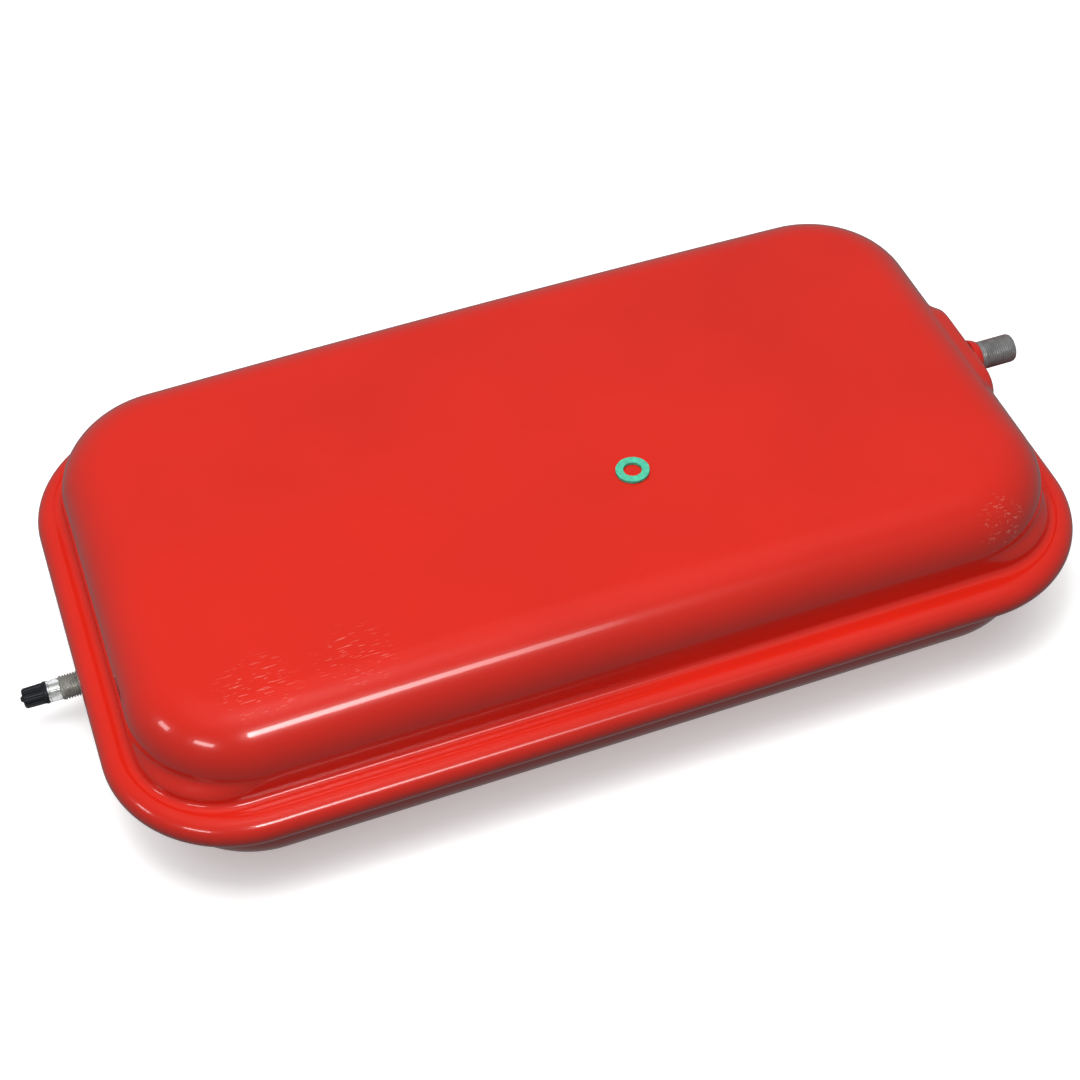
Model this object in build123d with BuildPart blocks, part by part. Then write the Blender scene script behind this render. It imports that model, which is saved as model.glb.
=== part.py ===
"""Flat rectangular expansion vessel for a boiler: two pressed steel half shells clenched
round a rubber diaphragm, a water stub at one end and an air valve at the other.

Frame: millimetres, +Z up, +X towards the water stub. The origin is the middle of the
flat face that the vessel rests on.
"""
from build123d import *
from math import atan2, cos, degrees, radians, sqrt
import os

# ---------------------------------------------------------------- driving dimensions
# Clenched rim and the two pressed pans
rim_length = 550.0
rim_width = 318.0
rim_corner = 74.0
pan_length = 516.0
pan_width = 280.0
pan_corner = 58.0
pan_draft = 2.0             # degrees
shoulder = 31.0             # outside radius between the wall and the panel
foot_fillet = 4.0           # outside radius between the wall and the flange
sheet = 1.2                 # steel sheet
lower_depth = 66.8          # rim plane down to the flat face it rests on
upper_depth = 47.2          # rim plane up to the upper panel's crown line
crown_rise = 3.5            # how far the middle of the upper panel stands above its corners
crown_reach = 262.0         # middle of the panel to where the crown has fallen by crown_rise

# Rim: both flanges and the diaphragm between them roll down round one centre line
bead_radius = 9.0           # outside of the upper shell's roll
flange_half = 1.0           # rim plane to the nearer face of either flange
web_half = 0.9              # half the thickness of the diaphragm where it is clamped
roll_gap = 0.1              # paint and play between pieces that lie against each other
upper_hook = 3.0            # the upper roll ends this far outside its centre line
rubber_roll_end = 4.0       # the rubber and the lower roll end this far below the centre line
lower_roll_end = 2.0

# Diaphragm, drawn up against the water side by the air charge
diaphragm_sheet = 2.0
plateau_height = 40.2       # rim plane to the underside of the plateau
web_inside_length = 510.0   # inner edge of the clamped web
web_inside_width = 274.0
web_inside_corner = 55.0
skirt_run = 36.0            # how far in the skirt leads before it meets the plateau

# Water stub, G 3/8 outside thread
stub_height = 20.7          # rim plane to the stub's axis
stub_radius = 16.66 / 2
stub_bore = 5.0
stub_inner_x = 252.0
stub_thread_start = 267.0
stub_tip_x = 288.0
stub_end_round = 2.2
stub_neck_radius = 7.95
port_pad_width = 78.0       # flat pressed in the end wall round the stub
port_pad_proud = 2.5
port_pad_height = 37.0
port_pad_foot = 6.0
port_pad_round = 12.0
weld_radius = 10.8
weld_length = 5.5

# Air valve, M14 x 1.5 boss and 8V1 stem
valve_drop = 35.8           # rim plane down to the valve's axis
boss_radius = 7.0
boss_inner = 252.0          # distances from the middle of the vessel towards -X
boss_neck_start = 260.8
boss_neck_end = 263.0
boss_neck_radius = 6.2
boss_outer = 286.0
stem_radius = 7.7 / 2
stem_tip = 304.0
sleeve_outer = 293.0
sleeve_radius = 6.15
sleeve_bore = 4.0
sleeve_wall = 0.9
boss_chamfer = 0.8
stem_chamfer = 0.5
core_bore_end = 276.0
air_passage = 2.5
cap_shoulder = 306.8
cap_tip = 308.2
cap_radius = 5.9
cap_root_radius = 5.3
cap_foot_radius = 6.3
cap_foot_length = 2.2
cap_pip_radius = 1.4
cap_flutes = 14
cap_rib_width = 1.1
cap_seal_thickness = 1.2

# Valve core, measured inwards from the tip of the stem
core_mouth = 2.6            # bore radius at the tip, for the core's screw
core_bore = 2.0             # bore radius below the tapered seat
seat_top = 7.5
seat_bottom = 9.5
core_barrel_end = 16.0
pin_radius = 0.7
spring_start = 6.95
spring_radius = 1.0
spring_wire = 0.12
spring_pitch = 0.95
spring_length = 7.6

# Fibre washer lying on the upper panel
washer_radius = 9.25
washer_bore = 5.0
washer_thickness = 2.0
washer_place = (36.0, -40.0)
washer_lift = 0.03          # clearance to the highest spot of the crown under it

# ---------------------------------------------------------------- worked-out sizes
rim_plane = lower_depth
port_face_x = pan_length / 2 + port_pad_proud
skirt_slope = degrees(atan2(skirt_run, plateau_height + web_half))
crown_radius = crown_reach ** 2 / (2 * crown_rise)
bead_line_length = rim_length - 2 * bead_radius
bead_line_width = rim_width - 2 * bead_radius
bead_line_corner = rim_corner - bead_radius
bead_drop = bead_radius - sheet - flange_half     # rim plane down to the bead's centre line
lower_roll = bead_drop - flange_half
stub_axis_z = rim_plane + stub_height
valve_axis_z = rim_plane - valve_drop

BIG = 20.0                  # more than the section of the bead or the depth of a wall

UPWARDS = Plane.XY.offset(rim_plane)
DOWNWARDS = Plane(origin=(0, 0, rim_plane), x_dir=(1, 0, 0), z_dir=(0, 0, -1))
STUB_AXIS = Axis((0, 0, stub_axis_z), (1, 0, 0))
STUB_SECTION = Plane(origin=(0, 0, stub_axis_z), x_dir=(1, 0, 0), z_dir=(0, -1, 0))
# Valve sections read outwards from the middle of the vessel, core sections inwards
# from the tip of the stem; in both the second coordinate is the radius.
VALVE_AXIS = Axis((0, 0, valve_axis_z), (-1, 0, 0))
VALVE_SECTION = Plane(origin=(0, 0, valve_axis_z), x_dir=(-1, 0, 0), z_dir=(0, 1, 0))
CORE_SECTION = Plane(origin=(-stem_tip, 0, valve_axis_z), x_dir=(1, 0, 0), z_dir=(0, -1, 0))


def pressed_form(base, depth, inset, crowned=False):
    """The solid bounded by one pan's outside, or by its inside when inset is the sheet."""
    rise = crown_rise if crowned else 0
    with BuildPart() as form:
        with BuildSketch(base.offset(flange_half)):
            RectangleRounded(pan_length - 2 * inset, pan_width - 2 * inset, pan_corner - inset)
        extrude(amount=depth - flange_half - inset + 2 * rise, taper=pan_draft)
        if crowned:
            ball = crown_radius - inset
            with Locations(base.origin + base.z_dir * (depth + rise - crown_radius)):
                # poles sideways, so that the seam stays clear of the panel
                Sphere(ball, rotation=(0, 90, 0), mode=Mode.INTERSECT)
        panel = form.faces().sort_by(Axis(base.origin, base.z_dir))[-1]
        fillet(panel.edges(), shoulder - inset)
    return form.part


def port_pad(inset):
    """The block behind the flat pressed in the upper shell's end wall."""
    pad_end = pan_length / 2 + port_pad_proud - inset
    with BuildPart() as pad:
        with BuildSketch(UPWARDS.offset(port_pad_foot + inset)):
            with Locations((pad_end - pan_corner / 2, 0)):
                RectangleRounded(pan_corner, port_pad_width - 2 * inset, port_pad_round)
        extrude(amount=port_pad_height - port_pad_foot - 2 * inset)
        levels = pad.faces().sort_by(Axis.Z)
        fillet(levels[0].edges() + levels[-1].edges(), port_pad_round - 1)
    return pad.part


def rim_path():
    """The centre line of the rolled bead, counter-clockwise from above."""
    half_length, half_width = bead_line_length / 2, bead_line_width / 2
    with BuildLine(UPWARDS.offset(-bead_drop)) as line:
        FilletPolyline(
            (half_length, half_width),
            (-half_length, half_width),
            (-half_length, -half_width),
            (half_length, -half_width),
            radius=bead_line_corner,
            close=True,
        )
    return line.wire()


def rim_section(path):
    """A plane across the bead: local X points out of the vessel, local Y is up."""
    outward = (path % 0).cross(Vector(0, 0, 1))
    return Plane(origin=path @ 0, x_dir=outward, z_dir=outward.cross(Vector(0, 0, 1)))


def rolled_edge(outer, inner, hook, end):
    """The part of a roll between two radii that lies outside its centre line, cut off where
    it comes back to hook from the line, or falls end below it."""
    path = rim_path()
    with BuildPart() as roll:
        with BuildSketch(rim_section(path)):
            Circle(outer)
            Circle(inner, mode=Mode.SUBTRACT)
            Rectangle(BIG, 2 * BIG, align=(Align.MAX, Align.CENTER), mode=Mode.SUBTRACT)
            with Locations((hook, 0)):
                Rectangle(BIG, BIG, align=(Align.MAX, Align.MAX), mode=Mode.SUBTRACT)
            with Locations((0, -end)):
                Rectangle(2 * BIG, BIG, align=(Align.CENTER, Align.MAX), mode=Mode.SUBTRACT)
        sweep(path=path)
    return roll.part


def pan_on_flange(base, depth, inset, crowned=False):
    """A pan on a flange that ends at the bead's centre line: its outside, or by inset its
    inside."""
    level = flange_half + sheet - inset
    with BuildPart() as form:
        add(pressed_form(base, depth, inset, crowned))
        with BuildSketch(base.offset(level)):
            RectangleRounded(bead_line_length, bead_line_width, bead_line_corner)
        extrude(amount=-sheet)
        height = (base.origin + base.z_dir * level).Z
        ledge = form.faces().filter_by(Plane.XY).filter_by_position(Axis.Z, height - 0.01, height + 0.01)
        fillet(ledge[0].inner_wires()[0].edges(), foot_fillet + inset)
    return form.part


def make_upper_shell():
    """Water-side shell: crowned pan, flange, and the edge rolled round everything else."""
    with BuildPart() as upper_shell:
        add(pan_on_flange(UPWARDS, upper_depth, 0, crowned=True))
        add(port_pad(0))
        add(pan_on_flange(UPWARDS, upper_depth, sheet, crowned=True), mode=Mode.SUBTRACT)
        add(port_pad(sheet), mode=Mode.SUBTRACT)
        add(rolled_edge(bead_radius, bead_radius - sheet, upper_hook, BIG))
        with BuildSketch(Plane(origin=(pan_length / 2 - BIG, 0, stub_axis_z), z_dir=(1, 0, 0))):
            Circle(stub_radius + roll_gap)
        extrude(amount=2 * BIG, mode=Mode.SUBTRACT)
    return upper_shell


def make_lower_shell():
    """Air-side shell: flat-bottomed pan whose edge rolls down inside the upper shell's."""
    with BuildPart() as lower_shell:
        add(pan_on_flange(DOWNWARDS, lower_depth, 0))
        add(pan_on_flange(DOWNWARDS, lower_depth, sheet), mode=Mode.SUBTRACT)
        add(rolled_edge(lower_roll, lower_roll - sheet, 0, lower_roll_end))
        with BuildSketch(Plane(origin=(BIG - pan_length / 2, 0, valve_axis_z), z_dir=(-1, 0, 0))):
            Circle(boss_radius + roll_gap)
        extrude(amount=2 * BIG, mode=Mode.SUBTRACT)
    return lower_shell


# ---------------------------------------------------------------- diaphragm
def make_diaphragm_rim():
    """The web that both shells clamp and the edge that wraps over the lower shell's roll."""
    with BuildPart() as diaphragm_rim:
        with BuildSketch(UPWARDS.offset(-web_half)):
            RectangleRounded(bead_line_length, bead_line_width, bead_line_corner)
            RectangleRounded(web_inside_length, web_inside_width, web_inside_corner,
                             mode=Mode.SUBTRACT)
        extrude(amount=2 * web_half)
        add(rolled_edge(bead_drop + web_half, bead_drop - web_half, 0, rubber_roll_end))
    return diaphragm_rim


def skirt_form(inset):
    """The solid under the skirt's slope, or under its inner face when inset is given."""
    trim = 2 * (inset + roll_gap)
    with BuildPart() as form:
        with BuildSketch(UPWARDS.offset(-web_half)):
            RectangleRounded(
                web_inside_length - trim, web_inside_width - trim, web_inside_corner - trim / 2
            )
        extrude(amount=plateau_height + web_half, taper=skirt_slope)
    return form.part


def make_diaphragm_skirt():
    """The rolling wall of the diaphragm, from the clamped web up to the plateau."""
    with BuildPart() as diaphragm_skirt:
        add(skirt_form(0))
        add(skirt_form(diaphragm_sheet / cos(radians(skirt_slope))), mode=Mode.SUBTRACT)
    return diaphragm_skirt


def make_diaphragm_plateau():
    """The flat middle of the diaphragm, which travels between the two shells."""
    with BuildPart() as diaphragm_plateau:
        with BuildSketch(UPWARDS.offset(plateau_height + roll_gap)):
            RectangleRounded(
                web_inside_length - 2 * skirt_run,
                web_inside_width - 2 * skirt_run,
                web_inside_corner - skirt_run,
            )
        extrude(amount=diaphragm_sheet)
    return diaphragm_plateau


# ---------------------------------------------------------------- water connection
def make_water_stub():
    """Turned steel stub with a plain neck, a threaded length and a rounded end."""
    with BuildPart() as water_stub:
        with BuildSketch(STUB_SECTION) as section:
            with BuildLine():
                Polyline(
                    (stub_inner_x, stub_bore),
                    (stub_tip_x, stub_bore),
                    (stub_tip_x, stub_radius),
                    (stub_thread_start, stub_radius),
                    (stub_thread_start, stub_neck_radius),
                    (port_face_x + weld_length, stub_neck_radius),
                    (port_face_x + weld_length, stub_radius),
                    (stub_inner_x, stub_radius),
                    close=True,
                )
            make_face()
            tip_corner = section.vertices().group_by(Axis.X)[-1].sort_by(Axis.Y)[-1]
            fillet(tip_corner, stub_end_round)
        revolve(axis=STUB_AXIS)
    return water_stub


def make_stub_weld():
    """The weld bead that seals the stub to the flat in the end wall, painted over."""
    inner = stub_radius + roll_gap / 2
    with BuildPart() as stub_weld:
        with BuildSketch(STUB_SECTION):
            with BuildLine():
                Line((port_face_x + roll_gap, inner), (port_face_x + weld_length, inner))
                RadiusArc(
                    (port_face_x + weld_length, inner),
                    (port_face_x + roll_gap, weld_radius),
                    -weld_length,
                )
                Line((port_face_x + roll_gap, weld_radius), (port_face_x + roll_gap, inner))
            make_face()
        revolve(axis=STUB_AXIS)
    return stub_weld


# ---------------------------------------------------------------- air valve
def make_valve_body():
    """Threaded boss and slimmer charging stem, turned in one piece and bored through."""
    seat_top_x = stem_tip - seat_top
    seat_bottom_x = stem_tip - seat_bottom
    with BuildPart() as valve_body:
        with BuildSketch(VALVE_SECTION):
            with BuildLine():
                Polyline(
                    (boss_inner, air_passage),
                    (boss_inner, boss_radius),
                    (boss_neck_start, boss_radius),
                    (boss_neck_start, boss_neck_radius),
                    (boss_neck_end, boss_neck_radius),
                    (boss_neck_end, boss_radius),
                    (boss_outer - boss_chamfer, boss_radius),
                    (boss_outer, boss_radius - boss_chamfer),
                    (boss_outer, stem_radius),
                    (stem_tip - stem_chamfer, stem_radius),
                    (stem_tip, stem_radius - stem_chamfer),
                    (stem_tip, core_mouth),
                    (seat_top_x, core_mouth),
                    (seat_bottom_x, core_bore),
                    (core_bore_end, core_bore),
                    (core_bore_end, air_passage),
                    close=True,
                )
            make_face()
        revolve(axis=VALVE_AXIS)
    return valve_body


def make_valve_weld():
    """The weld bead round the boss, run against the sloping end wall."""
    inner = boss_radius + roll_gap / 2
    wall = pan_length / 2
    with BuildPart() as valve_weld:
        with BuildSketch(VALVE_SECTION):
            with BuildLine():
                Polyline(
                    (wall - 3, inner),
                    (wall + weld_length / 2, inner),
                    (wall + weld_length / 4, boss_radius + weld_length / 4),
                    (wall - 3, boss_radius + weld_length / 2),
                    close=True,
                )
            make_face()
        revolve(axis=VALVE_AXIS)
        add(pressed_form(DOWNWARDS, lower_depth, -roll_gap), mode=Mode.SUBTRACT)
    return valve_weld


def make_clear_sleeve():
    """Clear plastic sleeve pushed over the stem between the boss and the cap."""
    lip = sleeve_outer - 1
    with BuildPart() as clear_sleeve:
        with BuildSketch(VALVE_SECTION):
            with BuildLine():
                Polyline(
                    (boss_outer + roll_gap, sleeve_radius),
                    (sleeve_outer - roll_gap, sleeve_radius),
                    (sleeve_outer - roll_gap, sleeve_bore),
                    (lip, sleeve_bore),
                    (lip, sleeve_radius - sleeve_wall),
                    (boss_outer + roll_gap, sleeve_radius - sleeve_wall),
                    close=True,
                )
            make_face()
        revolve(axis=VALVE_AXIS)
    return clear_sleeve


def make_valve_cap():
    """Screw cap with a flared foot, moulded flutes and a pip on its end."""
    cavity_end = stem_tip + cap_seal_thickness + 2 * roll_gap
    with BuildPart() as valve_cap:
        with BuildSketch(VALVE_SECTION):
            with BuildLine():
                Polyline(
                    (sleeve_outer, 0),
                    (sleeve_outer, cap_foot_radius),
                    (sleeve_outer + cap_foot_length, cap_foot_radius),
                    (sleeve_outer + cap_foot_length, cap_root_radius),
                    (cap_shoulder - 1, cap_root_radius),
                    (cap_shoulder, cap_root_radius - 1),
                    (cap_shoulder, cap_pip_radius),
                    (cap_tip - 0.4, cap_pip_radius),
                    (cap_tip, cap_pip_radius - 0.4),
                    (cap_tip, 0),
                    close=True,
                )
            make_face()
        revolve(axis=VALVE_AXIS)
        with BuildSketch(Plane(origin=(-sleeve_outer - cap_foot_length, 0, valve_axis_z),
                               z_dir=(-1, 0, 0))):
            with PolarLocations((cap_root_radius + cap_radius) / 2, cap_flutes):
                Rectangle(cap_radius - cap_root_radius + 0.4, cap_rib_width)
        extrude(amount=cap_shoulder - 1 - sleeve_outer - cap_foot_length)
        with BuildSketch(Plane(origin=(-sleeve_outer, 0, valve_axis_z), z_dir=(-1, 0, 0))):
            Circle(stem_radius + 0.05)
        extrude(amount=cavity_end - sleeve_outer, mode=Mode.SUBTRACT)
    return valve_cap


def make_cap_seal():
    """Rubber disc in the bottom of the cap, which closes on the tip of the stem."""
    with BuildPart() as cap_seal:
        with BuildSketch(Plane(origin=(-stem_tip - roll_gap, 0, valve_axis_z), z_dir=(-1, 0, 0))):
            Circle(stem_radius - roll_gap)
        extrude(amount=cap_seal_thickness)
    return cap_seal


# ---------------------------------------------------------------- valve core
def turned_core(profile):
    """One turned piece of the core from its (depth below the stem's tip, radius) points."""
    with BuildPart() as piece:
        with BuildSketch(CORE_SECTION):
            with BuildLine():
                Polyline(*profile, close=True)
            make_face()
        revolve(axis=VALVE_AXIS)
    return piece


def ring(start, end, inner, outer):
    """Profile points of a plain ring of the core."""
    return [(start, inner), (start, outer), (end, outer), (end, inner)]


def make_core_screw():
    """The core's screw, with a flat tab each side that the valve key turns."""
    with BuildPart() as core_screw:
        add(turned_core(ring(1.2, 5.4, 1.05, core_mouth - 0.05)).part)
        with Locations((-stem_tip + 1.2, 0, valve_axis_z)):
            with Locations((0, 1.9, 0), (0, -1.9, 0)):
                Box(3.6, 2.0, 8.0, mode=Mode.SUBTRACT)
    return core_screw


def make_core_barrel():
    """Brass barrel with a neck for its gasket and a ledge for the spring."""
    return turned_core([
        (5.5, 1.35), (5.5, 2.45), (7.4, 2.45), (7.4, 1.6), (9.35, 1.6), (9.35, 1.9),
        (core_barrel_end, 1.9), (core_barrel_end, 0.9), (14.8, 0.9), (14.8, 1.35),
    ])


def make_barrel_gasket():
    """Tapered gasket that seals the barrel in the stem's seat."""
    return turned_core([(7.45, 1.65), (7.45, 2.5), (9.3, 1.98), (9.3, 1.65)])


def make_core_pin():
    """The pin that a pump or gauge presses, with a collar for the spring."""
    return turned_core([
        (0.5, 0), (0.5, pin_radius), (6.0, pin_radius), (6.0, 1.27), (6.8, 1.27),
        (6.8, pin_radius), (18.4, pin_radius), (18.4, 0),
    ])


def make_pin_seal():
    """Rubber ring on the pin that closes against the end of the barrel."""
    return turned_core(ring(core_barrel_end + 0.05, 17.0, pin_radius + 0.02, 1.5))


def make_pin_cup():
    """Brass cup riveted to the pin, which carries the rubber ring."""
    return turned_core([
        (16.4, 1.55), (16.4, 1.75), (18.2, 1.75), (18.2, pin_radius + 0.02),
        (17.05, pin_radius + 0.02), (17.05, 1.55),
    ])


def make_core_spring():
    """Coil spring that holds the pin out."""
    with BuildPart() as core_spring:
        with BuildLine() as coil:
            Helix(
                pitch=spring_pitch,
                height=spring_length,
                radius=spring_radius,
                center=(spring_start - stem_tip, 0, valve_axis_z),
                direction=(1, 0, 0),
            )
        path = coil.wire()
        with BuildSketch(Plane(origin=path @ 0, z_dir=path % 0)):
            Circle(spring_wire)
        sweep(path=path, is_frenet=True)
    return core_spring


# ---------------------------------------------------------------- loose washer
def make_fibre_washer():
    """Flat fibre washer for the water joint, lying on the crown of the upper panel."""
    x, y = washer_place
    nearest = sqrt(x * x + y * y) - washer_radius
    crown = upper_depth + crown_rise - nearest ** 2 / (2 * crown_radius)
    with BuildPart() as fibre_washer:
        with BuildSketch(UPWARDS.offset(crown + washer_lift)):
            with Locations((x, y)):
                Circle(washer_radius)
                Circle(washer_bore, mode=Mode.SUBTRACT)
        extrude(amount=washer_thickness)
    return fibre_washer


MAKERS = {
    "upper_shell": make_upper_shell,
    "lower_shell": make_lower_shell,
    "diaphragm_rim": make_diaphragm_rim,
    "diaphragm_skirt": make_diaphragm_skirt,
    "diaphragm_plateau": make_diaphragm_plateau,
    "water_stub": make_water_stub,
    "stub_weld": make_stub_weld,
    "valve_body": make_valve_body,
    "valve_weld": make_valve_weld,
    "clear_sleeve": make_clear_sleeve,
    "valve_cap": make_valve_cap,
    "cap_seal": make_cap_seal,
    "core_screw": make_core_screw,
    "core_barrel": make_core_barrel,
    "barrel_gasket": make_barrel_gasket,
    "core_pin": make_core_pin,
    "pin_seal": make_pin_seal,
    "pin_cup": make_pin_cup,
    "core_spring": make_core_spring,
    "fibre_washer": make_fibre_washer,
}

os.makedirs("parts", exist_ok=True)
for name, make in MAKERS.items():
    piece = make()
    piece.part.label = name
    export_step(piece.part, f"parts/{name}.step")
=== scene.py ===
import math

import bmesh
import bpy
import numpy as np
from mathutils import Matrix, Vector


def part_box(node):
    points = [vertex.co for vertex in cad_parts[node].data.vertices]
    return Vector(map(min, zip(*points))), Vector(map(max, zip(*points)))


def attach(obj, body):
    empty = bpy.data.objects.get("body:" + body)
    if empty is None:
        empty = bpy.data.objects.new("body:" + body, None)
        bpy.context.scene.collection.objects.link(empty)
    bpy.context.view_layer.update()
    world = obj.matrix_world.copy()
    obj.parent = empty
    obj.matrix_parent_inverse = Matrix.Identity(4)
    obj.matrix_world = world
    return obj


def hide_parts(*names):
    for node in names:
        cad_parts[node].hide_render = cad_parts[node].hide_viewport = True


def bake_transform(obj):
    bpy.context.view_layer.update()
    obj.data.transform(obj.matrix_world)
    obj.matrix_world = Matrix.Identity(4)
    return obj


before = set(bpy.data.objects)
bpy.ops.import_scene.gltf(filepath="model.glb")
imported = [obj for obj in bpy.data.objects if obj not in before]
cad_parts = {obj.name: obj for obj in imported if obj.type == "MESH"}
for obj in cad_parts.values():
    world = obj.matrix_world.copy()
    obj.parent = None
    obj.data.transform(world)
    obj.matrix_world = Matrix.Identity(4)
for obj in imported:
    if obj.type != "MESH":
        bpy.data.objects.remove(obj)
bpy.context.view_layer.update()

MM = 0.001
MERGE = 2e-6                        # points closer than this become one point
SLIVER = 1e-7                       # and edges shorter than this are dropped
SHARP_ANGLE = math.radians(40)

# ------------------------------------------------------------------ sizes, in metres
low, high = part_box("upper_shell")
RIM = np.array([high[0] - low[0], high[1] - low[1]]) / 2   # half length and half width
RIM_CORNER = 74 * MM
RIM_PLANE = 66.8 * MM
BEAD = 9 * MM                       # outside radius of the rolled rim
BEAD_PLANE = 60 * MM                # height of the roll's centre line
SHEET = 1.2 * MM
HOLE_GAP = 0.1 * MM                 # round the stub and the boss
HOLE_END = 200 * MM                 # their holes are beyond this
PAN = np.array([258, 140]) * MM
FOOT_CORNER = 49 * MM               # plan radius where the wall meets the flange
WALL_CORNER = 62 * MM               # and where the wall turns into the shoulder
DRAFT = math.tan(math.radians(2))
SHOULDER = 31 * MM
FOOT = 4 * MM
UPPER_DEPTH = 47.2 * MM
CROWN_RISE = 3.5 * MM
CROWN_REACH = 262 * MM              # the panel's crown falls by its rise over this
CROWN_RADIUS = CROWN_REACH ** 2 / (2 * CROWN_RISE)

low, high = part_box("water_stub")
STUB_Z = (low[2] + high[2]) / 2
STUB_TIP = high[0]
STUB_INNER = low[0]
STUB_RADIUS = (high[2] - low[2]) / 2
low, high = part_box("valve_body")
VALVE_Z = (low[2] + high[2]) / 2
STEM_TIP = -low[0]
VALVE_INNER = -high[0]
BOSS_RADIUS = (high[2] - low[2]) / 2

STUB_AXIS = Matrix(((0, 0, 1, 0), (1, 0, 0, 0), (0, 1, 0, STUB_Z), (0, 0, 0, 1)))
VALVE_AXIS = Matrix(((0, 0, -1, 0), (-1, 0, 0, 0), (0, 1, 0, VALVE_Z), (0, 0, 0, 1)))


# ------------------------------------------------------------------ mesh helpers
def build_mesh(name, verts, faces, thickness=0):
    """A smooth object with its doubles merged, and a solid sheet if it has a thickness."""
    mesh = bpy.data.meshes.new(name)
    mesh.from_pydata([tuple(v) for v in verts], [], faces)
    work = bmesh.new()
    work.from_mesh(mesh)
    bmesh.ops.remove_doubles(work, verts=work.verts, dist=MERGE)
    bmesh.ops.dissolve_degenerate(work, dist=SLIVER, edges=work.edges)
    bmesh.ops.recalc_face_normals(work, faces=work.faces)
    if thickness:
        bmesh.ops.solidify(work, geom=work.faces[:], thickness=-thickness)
    work.to_mesh(mesh)
    work.free()
    mesh.polygons.foreach_set("use_smooth", [True] * len(mesh.polygons))
    piece = bpy.data.objects.new(name, mesh)
    bpy.context.scene.collection.objects.link(piece)
    return piece


def new_piece(name, verts, faces, body, material, replaced=()):
    piece = build_mesh(name, verts, faces)
    piece.data.set_sharp_from_angle(angle=SHARP_ANGLE)
    piece.data.materials.append(material)
    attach(piece, body)
    if replaced:
        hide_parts(*replaced)
    return piece


def quads(rows, columns, closed_rows=False):
    """Faces of a grid whose columns run round a closed loop."""
    faces = []
    for i in range(rows if closed_rows else rows - 1):
        above = (i + 1) % rows
        for j in range(columns):
            k = (j + 1) % columns
            low_row, high_row = i * columns, above * columns
            faces.append((low_row + j, low_row + k, high_row + k, high_row + j))
    return faces


def smoothstep(x, start, end):
    t = np.clip((x - start) / (end - start), 0, 1)
    return t * t * (3 - 2 * t)


# ------------------------------------------------------------------ materials
def node_material(name, color, roughness, metallic=0.0, mottle=0.0, mottle_scale=20.0,
                  bump=(), coat=0.0, coat_roughness=0.05, wear=0.0):
    """A procedural finish: a base colour that drifts by mottle, roughness that drifts with
    wear, and a stack of (scale, strength, distance) noise bumps."""
    mat = bpy.data.materials.new(name)
    mat.use_nodes = True
    nodes, links = mat.node_tree.nodes, mat.node_tree.links
    shader = nodes["Principled BSDF"]
    shader.inputs["Metallic"].default_value = metallic
    shader.inputs["Coat Weight"].default_value = coat
    shader.inputs["Coat Roughness"].default_value = coat_roughness
    place = nodes.new("ShaderNodeTexCoord")

    drift = nodes.new("ShaderNodeTexNoise")
    drift.inputs["Scale"].default_value = mottle_scale
    drift.inputs["Detail"].default_value = 6
    links.new(place.outputs["Object"], drift.inputs["Vector"])
    ramp = nodes.new("ShaderNodeValToRGB")
    ramp.color_ramp.elements[0].position = 0.3
    ramp.color_ramp.elements[1].position = 0.7
    ramp.color_ramp.elements[0].color = (*[c * (1 - mottle) for c in color], 1)
    ramp.color_ramp.elements[1].color = (*[min(1, c * (1 + mottle)) for c in color], 1)
    links.new(drift.outputs["Fac"], ramp.inputs["Fac"])
    links.new(ramp.outputs["Color"], shader.inputs["Base Color"])

    spread = nodes.new("ShaderNodeMapRange")
    spread.inputs["To Min"].default_value = max(0.02, roughness * (1 - wear))
    spread.inputs["To Max"].default_value = min(1, roughness * (1 + wear))
    links.new(drift.outputs["Fac"], spread.inputs["Value"])
    links.new(spread.outputs["Result"], shader.inputs["Roughness"])

    below = None
    for scale, strength, distance in bump:
        grain = nodes.new("ShaderNodeTexNoise")
        grain.inputs["Scale"].default_value = scale
        grain.inputs["Detail"].default_value = 3
        links.new(place.outputs["Object"], grain.inputs["Vector"])
        relief = nodes.new("ShaderNodeBump")
        relief.inputs["Strength"].default_value = strength
        relief.inputs["Distance"].default_value = distance
        links.new(grain.outputs["Fac"], relief.inputs["Height"])
        if below:
            links.new(below.outputs["Normal"], relief.inputs["Normal"])
        below = relief
    if below:
        links.new(below.outputs["Normal"], shader.inputs["Normal"])
    return mat


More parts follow.
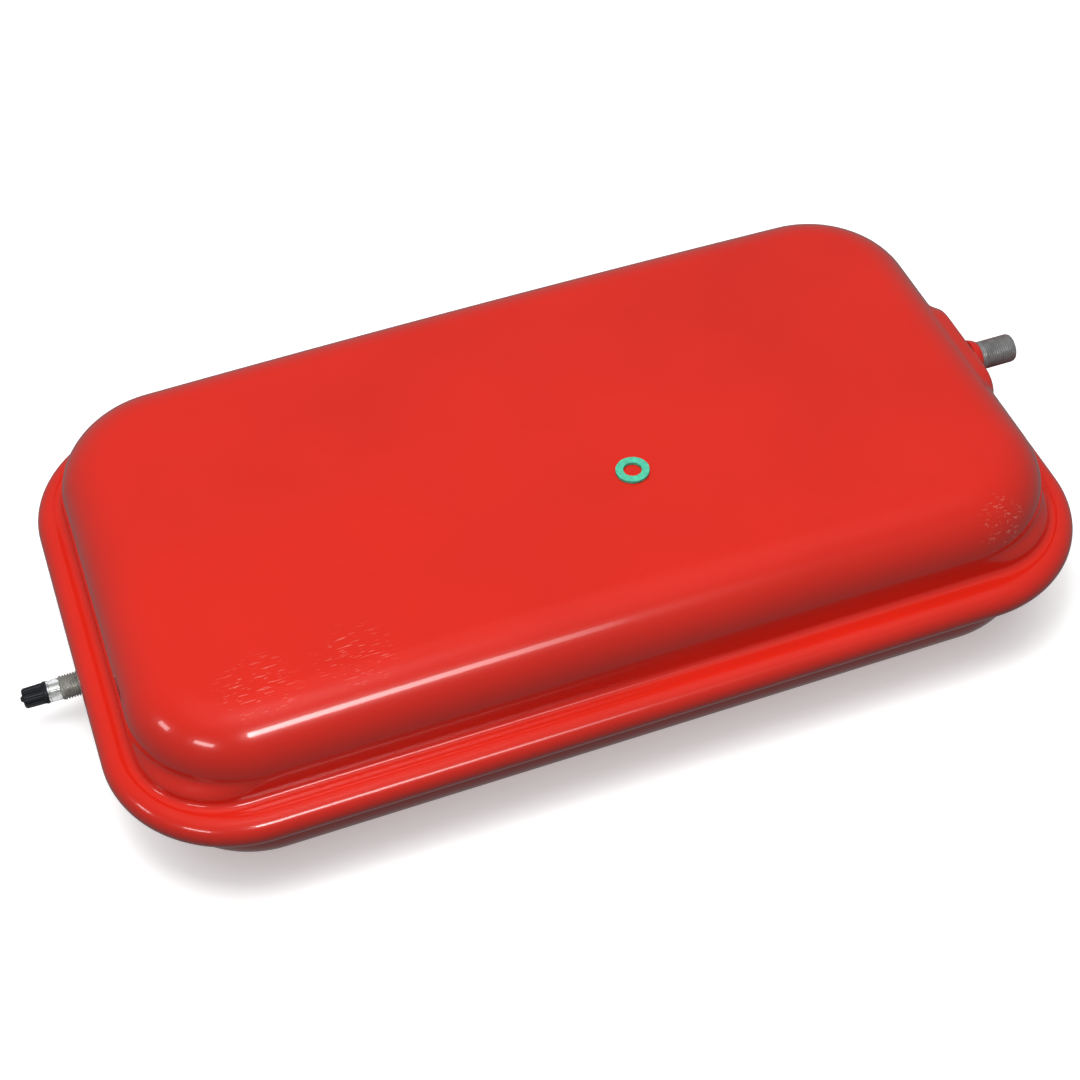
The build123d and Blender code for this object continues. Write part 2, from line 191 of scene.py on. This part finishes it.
red_paint = node_material(
    "red_paint", (0.66, 0.016, 0.006), 0.24, mottle=0.05, mottle_scale=9, wear=0.15,
    bump=((260, 0.10, 0.0004), (900, 0.04, 0.0002)), coat=1.0, coat_roughness=0.06,
)
def add_scuffs_and_glints(mat, patches, pale):
    """Pale flecks and hairlines in the paint, inside soft-edged round patches: worn scuffs, and
    a painted glint where the scuffs catch the light. Each patch is its centre, its reach, the
    three scales of its marks and how much of it is marked."""
    nodes, links = mat.node_tree.nodes, mat.node_tree.links
    shader = nodes["Principled BSDF"]
    place = nodes.new("ShaderNodeTexCoord")
    for centre, reach, scales, amount in patches:
        under = shader.inputs["Base Color"].links[0].from_socket
        stretch = nodes.new("ShaderNodeMapping")
        stretch.inputs["Scale"].default_value = scales
        links.new(place.outputs["Object"], stretch.inputs["Vector"])
        marks = nodes.new("ShaderNodeTexNoise")
        marks.inputs["Scale"].default_value = 1
        marks.inputs["Detail"].default_value = 5
        links.new(stretch.outputs["Vector"], marks.inputs["Vector"])
        cut = nodes.new("ShaderNodeMapRange")
        cut.inputs["From Min"].default_value = 0.60 - amount
        cut.inputs["From Max"].default_value = 0.66 - amount
        links.new(marks.outputs["Fac"], cut.inputs["Value"])
        away = nodes.new("ShaderNodeVectorMath")
        away.operation = "DISTANCE"
        away.inputs[1].default_value = centre
        links.new(place.outputs["Object"], away.inputs[0])
        fade = nodes.new("ShaderNodeMapRange")
        fade.interpolation_type = "SMOOTHSTEP"
        fade.inputs["From Min"].default_value = reach
        fade.inputs["From Max"].default_value = reach * 0.4
        links.new(away.outputs["Value"], fade.inputs["Value"])
        both = nodes.new("ShaderNodeMath")
        both.operation = "MULTIPLY"
        links.new(cut.outputs["Result"], both.inputs[0])
        links.new(fade.outputs["Result"], both.inputs[1])
        blend = nodes.new("ShaderNodeMix")
        blend.data_type = "RGBA"
        links.new(both.outputs["Value"], blend.inputs["Factor"])
        links.new(under, blend.inputs[6])
        blend.inputs[7].default_value = (*pale, 1)
        links.new(blend.outputs[2], shader.inputs["Base Color"])


# Pale flecks painted into the red: worn scuffs on the front left shoulder, and at the right front
# corner scuffs with a painted glint in them
add_scuffs_and_glints(red_paint, [
    ((0.212, -0.130, 0.098), 0.019, (300, 900, 500), 0.02),
    ((-0.190, -0.108, 0.116), 0.026, (150, 1100, 1100), 0.0),
    ((-0.140, -0.106, 0.116), 0.026, (130, 1300, 1300), -0.01),
], (0.72, 0.13, 0.10))
stub_steel = node_material(
    "stub_steel", (0.40, 0.41, 0.41), 0.36, metallic=0.6, mottle=0.18, mottle_scale=240,
    wear=0.35, bump=((1400, 0.25, 0.00005),),
)
valve_steel = node_material(
    "valve_steel", (0.50, 0.50, 0.46), 0.30, metallic=0.6, mottle=0.2, mottle_scale=300,
    wear=0.35, bump=((1600, 0.25, 0.00005),),
)
core_brass = node_material("core_brass", (0.66, 0.47, 0.20), 0.28, metallic=1.0, mottle=0.1,
                           mottle_scale=500, wear=0.3, bump=((3000, 0.2, 0.00002),))
core_steel = node_material("core_steel", (0.5, 0.5, 0.5), 0.3, metallic=1.0, mottle=0.1,
                           mottle_scale=500, wear=0.3, bump=((3000, 0.2, 0.00002),))
black_plastic = node_material(
    "black_plastic", (0.012, 0.014, 0.018), 0.38, mottle=0.2, mottle_scale=120, wear=0.2,
    bump=((1800, 0.15, 0.00005),),
)
diaphragm_rubber = node_material(
    "diaphragm_rubber", (0.018, 0.018, 0.02), 0.62, mottle=0.25, mottle_scale=40, wear=0.15,
    bump=((700, 0.2, 0.0001),),
)
seal_rubber = node_material("seal_rubber", (0.02, 0.02, 0.02), 0.6, mottle=0.2,
                            mottle_scale=300, wear=0.1, bump=((2500, 0.2, 0.00004),))
gasket_red = node_material("gasket_red", (0.45, 0.05, 0.04), 0.45, mottle=0.1,
                           mottle_scale=400, wear=0.1, bump=((2500, 0.15, 0.00004),))
green_fibre = node_material(
    "green_fibre", (0.085, 0.52, 0.34), 0.72, mottle=0.22, mottle_scale=420, wear=0.1,
    bump=((1500, 0.35, 0.0002), (4000, 0.3, 0.0001)),
)
clear_plastic = node_material("clear_plastic", (0.93, 0.95, 0.96), 0.12, mottle=0.02,
                              mottle_scale=90, wear=0.2, bump=((500, 0.12, 0.0002),))
clear_plastic.node_tree.nodes["Principled BSDF"].inputs["Transmission Weight"].default_value = 0.9
clear_plastic.node_tree.nodes["Principled BSDF"].inputs["IOR"].default_value = 1.45


# ------------------------------------------------------------------ shells
def spaced(*stops):
    """Values from the first stop to the last: (position, number of steps from the one before)."""
    values = [stops[0]]
    for position, steps in stops[1:]:
        values += list(np.linspace(values[-1], position, steps + 1)[1:])
    return np.array(values)


# Where round a rounded rectangle each column of a shell stands: the corner centre's
# multipliers and the outward normal. The ends are closely divided at the two fittings.
ALONG = np.linspace(-1, 1, 73)[:-1]
ACROSS = spaced(-1, (-0.72, 4), (-0.3, 18), (0.3, 34), (0.72, 18), (1, 4))[:-1]
CORNER_STEPS = 30


def outline_columns():
    centre, normal = [], []
    for side in range(4):
        turn = side * math.pi / 2
        c, s = round(math.cos(turn)), round(math.sin(turn))
        steps = ACROSS if side % 2 == 0 else ALONG
        for t in steps:
            centre.append((c - s * t, s + c * t))
            normal.append((c, s))
        for k in range(CORNER_STEPS):
            angle = turn + math.pi / 2 * k / CORNER_STEPS
            centre.append((c - s, s + c))
            normal.append((math.cos(angle), math.sin(angle)))
    return np.array(centre), np.array(normal)


CENTRE, NORMAL = outline_columns()


def outline(half, corner):
    """Points round a rounded rectangle with the given half sizes and corner radius."""
    return CENTRE * (np.asarray(half) - corner) + NORMAL * corner


def crown_height(points, crowned):
    fall = (points ** 2).sum(axis=1) / (2 * CROWN_RADIUS)
    return CROWN_RISE - fall if crowned else np.zeros(len(points))


def bezier(a, b, c, d, steps):
    """Points along a cubic curve, without its first."""
    a, b, c, d = (np.array(p) for p in (a, b, c, d))
    out = []
    for t in np.linspace(0, 1, steps + 1)[1:]:
        u = 1 - t
        out.append(tuple(a * u ** 3 + 3 * b * t * u ** 2 + 3 * c * t * t * u + d * t ** 3))
    return out


def arc(radius, start, end, steps=10):
    return [(radius * math.cos(a), radius * math.sin(a))
            for a in np.radians(np.linspace(start, end, steps))]


# Sections of the two rims about the roll's centre line, in millimetres as (outward, up),
# from the end under the rim to the foot of the pan's wall.
CREST = 9.7                         # top of the upper shell's roll
UPPER_FACE = 8.8                    # top of its flange
LOWER_ROLL = 4.6                    # the lower shell's roll and flange, inside the rubber
FLANGE_RUN = 6                      # how far in from the centre line the flanges reach
UPPER_RIM = (arc(9, -70, 0)
             + bezier((9, 0), (9, 5.3), (4.8, CREST), (-0.3, CREST), 26)
             + bezier((-0.3, CREST), (-2.4, CREST), (-3.8, UPPER_FACE), (-FLANGE_RUN, UPPER_FACE), 16))
LOWER_RIM = arc(LOWER_ROLL, -20, 90) + [(-2, LOWER_ROLL), (-4, LOWER_ROLL), (-FLANGE_RUN, LOWER_ROLL)]

# How many rings each stretch of a shell is divided into.
FOOT_RINGS, WALL_RINGS, SHOULDER_RINGS, PANEL_RINGS = 9, 18, 28, 34


def shell_rings(rim, foot_height, wall_height, up, crowned):
    """Rings of (outline, height) from the rolled edge to the panel's middle. Heights are
    absolute, and up is 1 for the upper shell and -1 for the lower."""
    line_half, line_corner = RIM - BEAD, RIM_CORNER - BEAD
    foot_line, foot_corner = PAN + FOOT, FOOT_CORNER + FOOT
    rings = []
    for outward, rise in rim:
        s = outward * MM
        inward = max(0, -s / (FLANGE_RUN * MM))
        half = line_half + s if s > 0 else line_half * (1 - inward) + foot_line * inward
        corner = line_corner + s if s > 0 else line_corner * (1 - inward) + foot_corner * inward
        rings.append((outline(half, corner), BEAD_PLANE + rise * MM))
    for angle in np.linspace(0, math.pi / 2, FOOT_RINGS)[1:]:
        out = FOOT * (1 - math.sin(angle))
        rings.append((outline(PAN + out, FOOT_CORNER + out),
                      foot_height + up * FOOT * (1 - math.cos(angle))))
    wall_foot = foot_height + up * FOOT
    arc_inset = (abs(wall_height - wall_foot) - SHOULDER) * DRAFT
    inner = arc_inset + SHOULDER
    panel, corner = PAN - inner, WALL_CORNER - SHOULDER
    edge_height = wall_height + crown_height(outline(panel, corner), crowned)
    wall_top = edge_height - up * SHOULDER
    for t in np.linspace(0, 1, WALL_RINGS)[1:]:
        ease = t * t * (3 - 2 * t)
        turn = FOOT_CORNER + (WALL_CORNER - FOOT_CORNER) * ease
        rings.append((outline(PAN - arc_inset * t, turn), wall_foot + (wall_top - wall_foot) * t))
    for angle in np.linspace(0, math.pi / 2, SHOULDER_RINGS)[1:]:
        inset = SHOULDER * (1 - math.cos(angle))
        rings.append((outline(PAN - arc_inset - inset, WALL_CORNER - inset),
                      wall_top + up * SHOULDER * math.sin(angle)))
    for t in np.linspace(0, 1, PANEL_RINGS)[1:]:
        ring = outline(panel - panel[1] * t, corner * (1 - t))
        rings.append((ring, wall_height + crown_height(ring, crowned)))
    return rings


PORT_FACE = 260.5 * MM              # the flat that carries the stub
PORT_HALF_WIDTH, PORT_HALF_HEIGHT = 22 * MM, 7 * MM
PORT_SIDE_FALL, PORT_TOP_FALL = 19 * MM, 12 * MM      # how far its edges take to fall away
PORT_PROUD = 9 * MM
PORT_BLEND = 2.4 * MM
END_WALL = 215 * MM                 # beyond this the surface belongs to the end wall


def press_port_flat(points):
    """Push the +X end wall out to the flat that carries the water stub."""
    x, y, z = points.T
    fall_y = np.clip((np.abs(y) - PORT_HALF_WIDTH) / PORT_SIDE_FALL, 0, 1)
    fall_z = np.clip((np.abs(z - STUB_Z) - PORT_HALF_HEIGHT) / PORT_TOP_FALL, 0, 1)
    away = np.clip(np.hypot(fall_y, fall_z), 0, 1)
    face = PORT_FACE - PORT_PROUD * (1 - np.sqrt(1 - away ** 2))
    lift = face - x
    soft = 0.5 * (lift + np.sqrt(lift ** 2 + PORT_BLEND ** 2)) - 0.5 * PORT_BLEND
    near = (x > END_WALL) & (away < 1)
    out = points.copy()
    out[:, 0] = np.where(near, x + np.maximum(soft, 0) * (1 - smoothstep(away, 0.75, 1)), x)
    return out


def make_shell(name, rim, foot_height, wall_height, up):
    rings = shell_rings(rim, foot_height, wall_height, up, crowned=up > 0)
    columns = len(NORMAL)
    verts = np.concatenate([np.column_stack((ring, np.zeros(columns) + height))
                            for ring, height in rings])
    if up > 0:
        verts = press_port_flat(verts)
    faces = quads(len(rings), columns)
    centre_z, end, hole = (STUB_Z, 1, STUB_RADIUS) if up > 0 else (VALVE_Z, -1, BOSS_RADIUS)
    middle = verts[np.array(faces)].mean(axis=1)
    near_axis = np.hypot(middle[:, 1], middle[:, 2] - centre_z) < hole + HOLE_GAP
    in_hole = near_axis & (end * middle[:, 0] > HOLE_END)
    faces = [face for face, cut in zip(faces, in_hole) if not cut]
    piece = new_piece(name + "_skin", verts, faces, "root", red_paint, (name,))
    skin = piece.modifiers.new("sheet", "SOLIDIFY")
    skin.thickness = SHEET
    skin.offset = -up
    skin.use_even_offset = True


make_shell("upper_shell", UPPER_RIM, BEAD_PLANE + UPPER_FACE * MM, RIM_PLANE + UPPER_DEPTH, 1)
make_shell("lower_shell", LOWER_RIM, BEAD_PLANE + LOWER_ROLL * MM, 0.0, -1)


# ------------------------------------------------------------------ turned pieces
def softened(points, radius):
    """A closed profile with its corners eased, where there is room."""
    out = []
    count = len(points)
    for i, point in enumerate(points):
        p = np.array(point)
        before, after = np.array(points[i - 1]), np.array(points[(i + 1) % count])
        room = min(np.linalg.norm(before - p), np.linalg.norm(after - p)) * 0.45
        if p[1] < 1e-9 or room < 1e-6:
            out.append(tuple(p))
            continue
        reach = min(radius, room)
        a = p + (before - p) / np.linalg.norm(before - p) * reach
        b = p + (after - p) / np.linalg.norm(after - p) * reach
        for t in (0, 0.25, 0.5, 0.75, 1):
            out.append(tuple(a * (1 - t) ** 2 + p * 2 * t * (1 - t) + b * t * t))
    return out


def turned(name, axis, profile, body, material, replaced=(), steps=96, ease=0.2 * MM,
           relief=None, spacing=None):
    """A closed (distance, radius) profile turned about an axis. relief(s, r, angle) gives the
    radius where the surface isn't plain, and spacing is how close its stations stand."""
    points = softened(profile, ease)
    stations = []
    for i, a in enumerate(points):
        b = points[(i + 1) % len(points)]
        run = abs(b[0] - a[0])
        parts = max(1, math.ceil(run / spacing)) if spacing and run > 4 * spacing else 1
        stations += [(a[0] + (b[0] - a[0]) * k / parts, a[1] + (b[1] - a[1]) * k / parts)
                     for k in range(parts)]
    angles = np.arange(steps) / steps * 2 * math.pi
    verts = []
    for s, r in stations:
        radius = np.full(steps, r) if relief is None else relief(s, r, angles)
        local = np.column_stack((radius * np.cos(angles), radius * np.sin(angles),
                                 np.full(steps, s)))
        verts.append(local @ np.array(axis.to_3x3()).T + np.array(axis.translation))
    return new_piece(name, np.concatenate(verts), quads(len(stations), steps, True), body,
                     material, replaced)


def screw_thread(start, end, major, pitch, depth, run_out=1.0):
    """A relief that cuts a helical V thread with rounded crests between two stations."""
    def relief(s, r, angles):
        if r < major - 0.3 * depth or not start <= s <= end:
            return np.full(len(angles), r)
        phase = (s / pitch - angles / (2 * math.pi)) % 1
        tooth = np.abs(2 * phase - 1)
        groove = smoothstep(tooth, 0.12, 0.88)
        fade = min(1, (s - start) / (run_out * pitch), (end - s) / (run_out * pitch))
        return r - depth * groove * max(0, fade)
    return relief


WELD_GAP = 0.05 * MM                # between a weld bead and the metal inside it

STUB_PITCH = 25.4 / 19 * MM
STUB_BORE = 5 * MM                  # this and the others below are radii
STUB_CHAMFER, STUB_LIP = 2.2 * MM, 0.65 * MM
STUB_NECK = 7.95 * MM
NECK_START, NECK_END = 266 * MM, 267.3 * MM
turned(
    "water_stub_thread", STUB_AXIS,
    [(STUB_INNER, STUB_BORE), (STUB_TIP, STUB_BORE), (STUB_TIP, STUB_RADIUS - STUB_CHAMFER),
     (STUB_TIP - STUB_LIP, STUB_RADIUS - STUB_LIP), (STUB_TIP - STUB_CHAMFER, STUB_RADIUS),
     (NECK_END, STUB_RADIUS), (NECK_END - 0.3 * MM, STUB_NECK), (NECK_START + 0.1 * MM, STUB_NECK),
     (NECK_START, STUB_RADIUS), (STUB_INNER, STUB_RADIUS)],
    "root", stub_steel, ("water_stub",), steps=128, ease=0.5 * MM,
    relief=screw_thread(NECK_END + 0.5 * MM, STUB_TIP - 1.2 * MM, STUB_RADIUS, STUB_PITCH,
                        depth=0.86 * MM),
    spacing=STUB_PITCH / 12,
)
STUB_WELD_START = 260.6 * MM
turned(
    "stub_weld_bead", STUB_AXIS,
    [(STUB_WELD_START, STUB_RADIUS + WELD_GAP), (NECK_START, STUB_RADIUS + WELD_GAP),
     (NECK_START - 0.1 * MM, 9.0 * MM), (264.6 * MM, 9.9 * MM), (262.6 * MM, 10.6 * MM),
     (STUB_WELD_START, 11.2 * MM)],
    "root", red_paint, ("stub_weld",), ease=0.6 * MM,
)

BOSS_END = 286 * MM
BOSS_CHAMFER = 0.9 * MM
BOSS_PITCH = 1.5 * MM
BOSS_BORE = 2.5 * MM
BOSS_BORE_END = 276 * MM
BOSS_NECK = 6.2 * MM
BOSS_NECK_START, BOSS_NECK_END = 260.8 * MM, 263 * MM
NECK_SLOPE = 0.4 * MM
STEM = 3.85 * MM
STEM_BORE = 2.6 * MM
STEM_SEAT = 2.0 * MM                # where the core's gasket sits
STEM_PITCH = 25.4 / 32 * MM
SLEEVE_END = 293 * MM


def valve_threads(s, r, angles):
    if r > STEM + 1 * MM:
        cut = screw_thread(BOSS_NECK_END + 0.3 * MM, BOSS_END - 0.4 * MM, BOSS_RADIUS, BOSS_PITCH,
                           depth=0.85 * MM)
    else:
        cut = screw_thread(SLEEVE_END + 1 * MM, STEM_TIP - 0.4 * MM, STEM, STEM_PITCH,
                           depth=0.45 * MM)
    return cut(s, r, angles)


turned(
    "valve_body_thread", VALVE_AXIS,
    [(VALVE_INNER, BOSS_BORE), (VALVE_INNER, BOSS_RADIUS), (BOSS_NECK_START, BOSS_RADIUS),
     (BOSS_NECK_START + NECK_SLOPE, BOSS_NECK), (BOSS_NECK_END - NECK_SLOPE, BOSS_NECK),
     (BOSS_NECK_END, BOSS_RADIUS), (BOSS_END - BOSS_CHAMFER, BOSS_RADIUS),
     (BOSS_END, BOSS_RADIUS - BOSS_CHAMFER), (BOSS_END, STEM), (STEM_TIP - 0.6 * MM, STEM),
     (STEM_TIP, STEM - 0.5 * MM), (STEM_TIP, STEM_BORE), (STEM_TIP - 7.5 * MM, STEM_BORE),
     (STEM_TIP - 9.5 * MM, STEM_SEAT), (BOSS_BORE_END, STEM_SEAT), (BOSS_BORE_END, BOSS_BORE)],
    "root", valve_steel, ("valve_body",), steps=96, ease=0.15 * MM,
    relief=valve_threads, spacing=STEM_PITCH / 8,
)
VALVE_WELD_START, VALVE_WELD_END = 257.3 * MM, 260.7 * MM
turned(
    "valve_weld_bead", VALVE_AXIS,
    [(VALVE_WELD_START, BOSS_RADIUS + WELD_GAP), (VALVE_WELD_END, BOSS_RADIUS + WELD_GAP),
     (260.1 * MM, 7.9 * MM), (258.7 * MM, 8.8 * MM), (VALVE_WELD_START, 9.2 * MM)],
    "root", red_paint, ("valve_weld",), ease=0.5 * MM,
)
SLEEVE, SLEEVE_BORE = 6.15 * MM, 5.25 * MM
SLEEVE_LIP = 4.0 * MM               # the inward lip at the cap's end, and its thickness
SLEEVE_LIP_DEPTH = 1 * MM
SLEEVE_GAP = 0.1 * MM
turned(
    "clear_sleeve_tube", VALVE_AXIS,
    [(BOSS_END + SLEEVE_GAP, SLEEVE), (SLEEVE_END - SLEEVE_GAP, SLEEVE),
     (SLEEVE_END - SLEEVE_GAP, SLEEVE_LIP), (SLEEVE_END - SLEEVE_LIP_DEPTH, SLEEVE_LIP),
     (SLEEVE_END - SLEEVE_LIP_DEPTH, SLEEVE_BORE), (BOSS_END + SLEEVE_GAP, SLEEVE_BORE)],
    "root", clear_plastic, ("clear_sleeve",), ease=0.25 * MM,
)

CAP_FLUTES = 14
FLUTE_DEPTH = 0.75 * MM
CAP_BORE = 3.9 * MM
CAP_SKIN = 5.4 * MM                 # what is further out than this carries the flutes
CAP_FOOT = SLEEVE_END + 2.2 * MM
CAP_SHOULDER = 306.8 * MM
CAP_TIP = 308.2 * MM
CAP_BORE_END = STEM_TIP + 1.4 * MM


def cap_flutes(s, r, angles):
    if r < CAP_SKIN or not CAP_FOOT - 0.6 * MM < s < CAP_SHOULDER + 0.1 * MM:
        return np.full(len(angles), r)
    wave = 0.5 + 0.5 * np.cos(angles * CAP_FLUTES)
    valley = smoothstep(wave, 0.15, 0.75)
    blend = smoothstep(s, CAP_FOOT - 0.4 * MM, CAP_FOOT + 0.8 * MM)
    blend *= 1 - smoothstep(s, CAP_SHOULDER - 1.2 * MM, CAP_SHOULDER)
    return r - FLUTE_DEPTH * (1 - valley) * blend


turned(
    "valve_cap_fluted", VALVE_AXIS,
    [(SLEEVE_END, CAP_BORE), (SLEEVE_END, 6.15 * MM), (SLEEVE_END + 0.4 * MM, 6.35 * MM),
     (SLEEVE_END + 1.6 * MM, 6.3 * MM), (CAP_FOOT, 5.95 * MM), (CAP_SHOULDER - 1.0 * MM, 5.75 * MM),
     (CAP_SHOULDER, 4.6 * MM), (CAP_SHOULDER + 0.1 * MM, 1.9 * MM), (CAP_TIP - 0.5 * MM, 1.5 * MM),
     (CAP_TIP, 0.8 * MM), (CAP_TIP, 0), (CAP_BORE_END, 0), (CAP_BORE_END, CAP_BORE)],
    "cap", black_plastic, ("valve_cap",), steps=168, ease=0.3 * MM,
    relief=cap_flutes, spacing=0.5 * MM,
)

# ------------------------------------------------------------------ fibre washer
low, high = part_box("fibre_washer")
WASHER_AXIS = Matrix.Translation(((low[0] + high[0]) / 2, (low[1] + high[1]) / 2, 0))
WASHER_BORE, WASHER = 5 * MM, 9.2 * MM
WASHER_RIPPLE = 0.05 * MM


def fibre_edge(s, r, angles):
    """A relief that leaves the punched edge slightly uneven."""
    ripple = np.sin(angles * 7 + 1.3) + 0.6 * np.sin(angles * 13 + 0.4)
    return np.full(len(angles), r) + WASHER_RIPPLE * ripple


turned(
    "fibre_washer_disc", WASHER_AXIS,
    [(low[2], WASHER_BORE), (low[2], WASHER), (high[2], WASHER), (high[2], WASHER_BORE)],
    "washer", green_fibre, ("fibre_washer",), steps=128, ease=0.25 * MM,
    relief=fibre_edge,
)

# ------------------------------------------------------------------ diaphragm
RUBBER = 2.0 * MM
RUBBER_OUTER, RUBBER_INNER = 7.7, 5.9       # millimetres from the roll's centre line
PLATEAU = 40.2 * MM                 # its rise over the rim plane
CLAMP = np.array([255, 137]) * MM
CLAMP_CORNER = 55 * MM
CLAMP_GAP = 0.3 * MM
SKIRT_RUN = 36 * MM
SKIRT_BULGE = 2.2 * MM
SKIRT_RINGS, PLATEAU_RINGS = 28, 20


def make_diaphragm_rim():
    """The clamped web and the edge that wraps over the lower shell's roll."""
    line_half, line_corner = RIM - BEAD, RIM_CORNER - BEAD
    over, under = arc(RUBBER_OUTER, -30, 90, 18), arc(RUBBER_INNER, 90, -40, 18)
    clamp = outline(CLAMP, CLAMP_CORNER)
    rings = [(outline(line_half + s * MM, line_corner + s * MM), h * MM) for s, h in over]
    rings += [(clamp, RUBBER_OUTER * MM), (clamp, RUBBER_INNER * MM)]
    rings += [(outline(line_half + s * MM, line_corner + s * MM), h * MM) for s, h in under]
    verts = np.concatenate([np.column_stack((ring, np.full(len(ring), BEAD_PLANE + h)))
                            for ring, h in rings])
    new_piece("diaphragm_bead", verts, quads(len(rings), len(NORMAL), True), "root",
              diaphragm_rubber, ("diaphragm_rim",))


def make_diaphragm_sheet():
    """Skirt and plateau in one rolling sheet, with the convolution that lets it turn over."""
    rings = []
    for t in np.linspace(0, 1, SKIRT_RINGS):
        bulge = SKIRT_BULGE * math.sin(math.pi * t) ** 2
        inset = CLAMP_GAP + SKIRT_RUN * (1 - math.cos(t * math.pi / 2)) - bulge
        rise = PLATEAU * math.sin(t * math.pi / 2)
        rings.append((outline(CLAMP - inset, CLAMP_CORNER - inset), rise))
    top, corner = CLAMP - CLAMP_GAP - SKIRT_RUN, CLAMP_CORNER - CLAMP_GAP - SKIRT_RUN
    for t in np.linspace(0, 1, PLATEAU_RINGS)[1:]:
        rings.append((outline(top - top[1] * t, corner * (1 - t)), PLATEAU))
    verts = np.concatenate([np.column_stack((ring, np.full(len(ring), RIM_PLANE + h)))
                            for ring, h in rings])
    piece = build_mesh("diaphragm_sheet", verts, quads(len(rings), len(NORMAL)), RUBBER)
    piece.data.materials.append(diaphragm_rubber)
    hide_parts("diaphragm_skirt", "diaphragm_plateau")
    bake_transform(piece)


make_diaphragm_rim()
make_diaphragm_sheet()

# ------------------------------------------------------------------ small CAD pieces
for node, material in {
    "cap_seal": seal_rubber, "core_screw": core_brass, "core_barrel": core_brass,
    "barrel_gasket": gasket_red, "core_pin": core_brass, "pin_seal": seal_rubber,
    "pin_cup": core_brass, "core_spring": core_steel,
}.items():
    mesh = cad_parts[node].data
    mesh.materials.clear()
    mesh.materials.append(material)

# ------------------------------------------------------------------ camera
AZIMUTH, ELEVATION, ROLL = (math.radians(a) for a in (-17.2, 47.55, -3.24))
FOCAL_PIXELS, FRAME_PIXELS, SENSOR = 2158.4, 1080, 36.0
DISTANCE, RIGHT_SHIFT, UP_SHIFT = 2.2212, -0.0101, -0.0282   # in rim lengths


def add_camera():
    towards = Vector((math.sin(AZIMUTH) * math.cos(ELEVATION),
                      -math.cos(AZIMUTH) * math.cos(ELEVATION), math.sin(ELEVATION)))
    right = (-towards).cross(Vector((0, 0, 1))).normalized()
    up = right.cross(-towards)
    level = Matrix((right, up, towards)).transposed()
    turned_axes = level @ Matrix.Rotation(ROLL, 3, "Z")
    length = 2 * RIM[0]
    place = (towards * DISTANCE + right * RIGHT_SHIFT + up * UP_SHIFT) * length
    data = bpy.data.cameras.new("camera")
    data.sensor_width = SENSOR
    data.lens = FOCAL_PIXELS * SENSOR / FRAME_PIXELS
    camera = bpy.data.objects.new("camera", data)
    stand = Matrix.Translation(place + Vector((0, 0, BEAD_PLANE)))
    camera.matrix_world = stand @ turned_axes.to_4x4()
    bpy.context.scene.collection.objects.link(camera)
    bpy.context.scene.camera = camera


add_camera()


# ------------------------------------------------------------------ floor and light
def add_floor():
    mesh = bpy.data.meshes.new("floor")
    side = 12.0
    mesh.from_pydata([(-side, -side, -0.0005), (side, -side, -0.0005), (side, side, -0.0005),
                      (-side, side, -0.0005)], [], [(0, 1, 2, 3)])
    floor = bpy.data.objects.new("floor", mesh)
    bpy.context.scene.collection.objects.link(floor)
    white = node_material("floor_white", (0.93, 0.93, 0.93), 0.9, mottle=0.01, mottle_scale=2)
    glow = white.node_tree.nodes["Principled BSDF"].inputs
    glow["Emission Color"].default_value = (1, 1, 1, 1)
    glow["Emission Strength"].default_value = 0.38
    mesh.materials.append(white)
    floor.visible_glossy = False
    floor.visible_diffuse = False


def add_light(name, place, target, size, power, fade=None):
    """An area light that stands for a window. With fade, its strength runs between the two
    levels from one end to the other."""
    data = bpy.data.lights.new(name, "AREA")
    data.shape = "RECTANGLE"
    data.size, data.size_y = size
    data.energy = power
    if fade:
        data.use_nodes = True
        nodes, links = data.node_tree.nodes, data.node_tree.links
        place_on_light = nodes.new("ShaderNodeNewGeometry")
        split = nodes.new("ShaderNodeSeparateXYZ")
        level = nodes.new("ShaderNodeMapRange")
        level.inputs["To Min"].default_value, level.inputs["To Max"].default_value = fade
        links.new(place_on_light.outputs["Parametric"], split.inputs["Vector"])
        links.new(split.outputs["X"], level.inputs["Value"])
        links.new(level.outputs["Result"], nodes["Emission"].inputs["Strength"])
    light = bpy.data.objects.new(name, data)
    light.location = place
    light.rotation_euler = (Vector(target) - Vector(place)).to_track_quat("-Z", "Y").to_euler()
    bpy.context.scene.collection.objects.link(light)
    return light


def add_soft_sky(direction, strength, angle):
    """The broad light of the room. It lights the part but leaves no mirror image in it."""
    data = bpy.data.lights.new("soft_sky", "SUN")
    data.energy = strength
    data.angle = math.radians(angle)
    sky = bpy.data.objects.new("soft_sky", data)
    sky.rotation_euler = Vector(direction).to_track_quat("Z", "Y").to_euler()
    sky.visible_glossy = False
    bpy.context.scene.collection.objects.link(sky)


def add_world():
    world = bpy.data.worlds.new("studio")
    world.use_nodes = True
    background = world.node_tree.nodes["Background"]
    background.inputs["Color"].default_value = (1, 1, 1, 1)
    background.inputs["Strength"].default_value = 0.17
    bpy.context.scene.world = world


add_floor()
add_world()
add_soft_sky((-0.08, -0.04, 1.0), 2.0, 60)
front_lamp = add_light("front_lamp", (-0.22, -0.32, 1.25), (-0.08, -0.1, 0.1), (0.5, 0.4), 7)
front_lamp.visible_glossy = False
for name, place, size, power, fade in (
        ("window", (0.0, -1.7, 1.62), (1.0, 0.34), 19, (1.0, 0.05)),
        ("side_window", (-1.9, -1.5, 1.15), (0.7, 0.25), 4, None),
        ("far_window", (-2.4, -0.1, 0.95), (0.4, 0.3), 2, None)):
    pane = add_light(name, place, (0, -0.1, 0.1), size, power, fade)
    pane.visible_diffuse = False
bpy.context.scene.view_settings.view_transform = "Standard"
